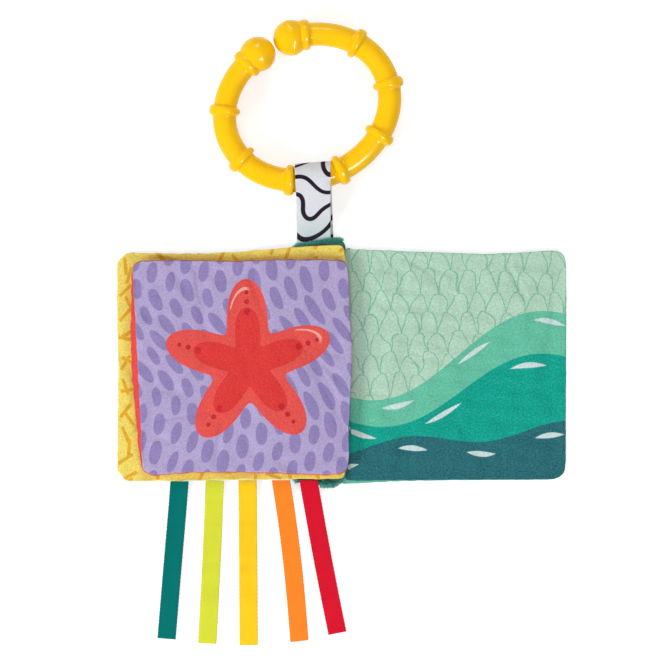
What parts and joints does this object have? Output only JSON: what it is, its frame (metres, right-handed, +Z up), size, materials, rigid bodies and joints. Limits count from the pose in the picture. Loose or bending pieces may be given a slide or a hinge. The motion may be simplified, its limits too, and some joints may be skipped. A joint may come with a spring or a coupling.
{
  "type": "crinkle cloth book",
  "caption": "Soft cloth baby book lying open, with crinkle leaves, a plush spine, ribbon tabs and a clip ring on a strap.",
  "frame": {"origin": "middle of the lying book's box in plan, on the surface it lies on", "axes": "+Z up from the surface, +Y along the spine towards the ring, +X towards the back cover"},
  "size_m": [0.2432, 0.338, 0.0191],
  "materials": {
    "ring_plastic": "glossy moulded plastic",
    "strap_cloth": "woven print, white with black lines",
    "teal_plush": "short pile plush",
    "yellow_cloth": "brushed woven print",
    "lavender_cloth": "brushed woven print",
    "coral_cloth": "plain brushed cloth",
    "mint_print_cloth": "brushed woven print",
    "mint_cloth": "plain brushed cloth",
    "crinkle_film": "thin crisp film",
    "wadding": "loose fibre sheet",
    "teal_ribbon": "ribbed ribbon",
    "lime_ribbon": "ribbed ribbon",
    "yellow_ribbon": "ribbed ribbon",
    "orange_ribbon": "ribbed ribbon",
    "red_ribbon": "ribbed ribbon"
  },
  "bodies": {
    "front_cover": {"front_cover_face": "yellow_cloth", "front_cover_outer": "teal_plush", "front_cover_film": "crinkle_film", "front_cover_wadding": "wadding", "spine_band": "teal_plush"},
    "middle_page": {"page_face": "lavender_cloth", "page_back": "coral_cloth", "page_film": "crinkle_film", "page_wadding": "wadding"},
    "back_cover": {"back_cover_face": "mint_print_cloth", "back_cover_outer": "mint_cloth", "back_cover_film": "crinkle_film", "back_cover_wadding": "wadding"},
    "strap": {"strap_loop": "strap_cloth"},
    "ring": {"ring": "ring_plastic"},
    "ribbon_teal": {"ribbon_teal": "teal_ribbon"},
    "ribbon_lime": {"ribbon_lime": "lime_ribbon"},
    "ribbon_yellow": {"ribbon_yellow": "yellow_ribbon"},
    "ribbon_orange": {"ribbon_orange": "orange_ribbon"},
    "ribbon_red": {"ribbon_red": "red_ribbon"}
  },
  "joints": [
    {"name": "page_turn", "type": "hinge", "parent": "front_cover", "child": "middle_page", "pos_m": [0.0023, -0.0186, 0.00775], "axis": [0, 1, 0], "range_deg": [0, 176]},
    {"name": "back_cover_close", "type": "hinge", "parent": "front_cover", "child": "back_cover", "pos_m": [0, -0.017, 0.00722], "axis": [0, 1, 0], "range_deg": [-170, 0]},
    {"name": "strap_fold", "type": "hinge", "parent": "front_cover", "child": "strap", "pos_m": [-0.0147, 0.05155, 0.00085], "axis": [1, 0, 0], "range_deg": [-90, 85]},
    {"name": "ring_swing", "type": "hinge", "parent": "strap", "child": "ring", "pos_m": [-0.0147, 0.08315, 0.00854], "axis": [-0.9825, -0.1864, 0.0049], "range_deg": [-120, 90]},
    {"name": "ribbon_teal_flap", "type": "hinge", "parent": "front_cover", "child": "ribbon_teal", "pos_m": [-0.08757, -0.08103, 0.0022], "axis": [-1, 0, 0], "range_deg": [-90, 110]},
    {"name": "ribbon_lime_flap", "type": "hinge", "parent": "front_cover", "child": "ribbon_lime", "pos_m": [-0.06857, -0.08073, 0.0022], "axis": [-1, 0, 0], "range_deg": [-90, 110]},
    {"name": "ribbon_yellow_flap", "type": "hinge", "parent": "front_cover", "child": "ribbon_yellow", "pos_m": [-0.05081, -0.08054, 0.00266], "axis": [-1, 0, 0], "range_deg": [-90, 110]},
    {"name": "ribbon_orange_flap", "type": "hinge", "parent": "front_cover", "child": "ribbon_orange", "pos_m": [-0.03275, -0.08043, 0.00378], "axis": [-1, 0, 0], "range_deg": [-90, 110]},
    {"name": "ribbon_red_flap", "type": "hinge", "parent": "front_cover", "child": "ribbon_red", "pos_m": [-0.0179, -0.0804, 0.00378], "axis": [-1, 0, 0], "range_deg": [-20, 110]}
  ]
}
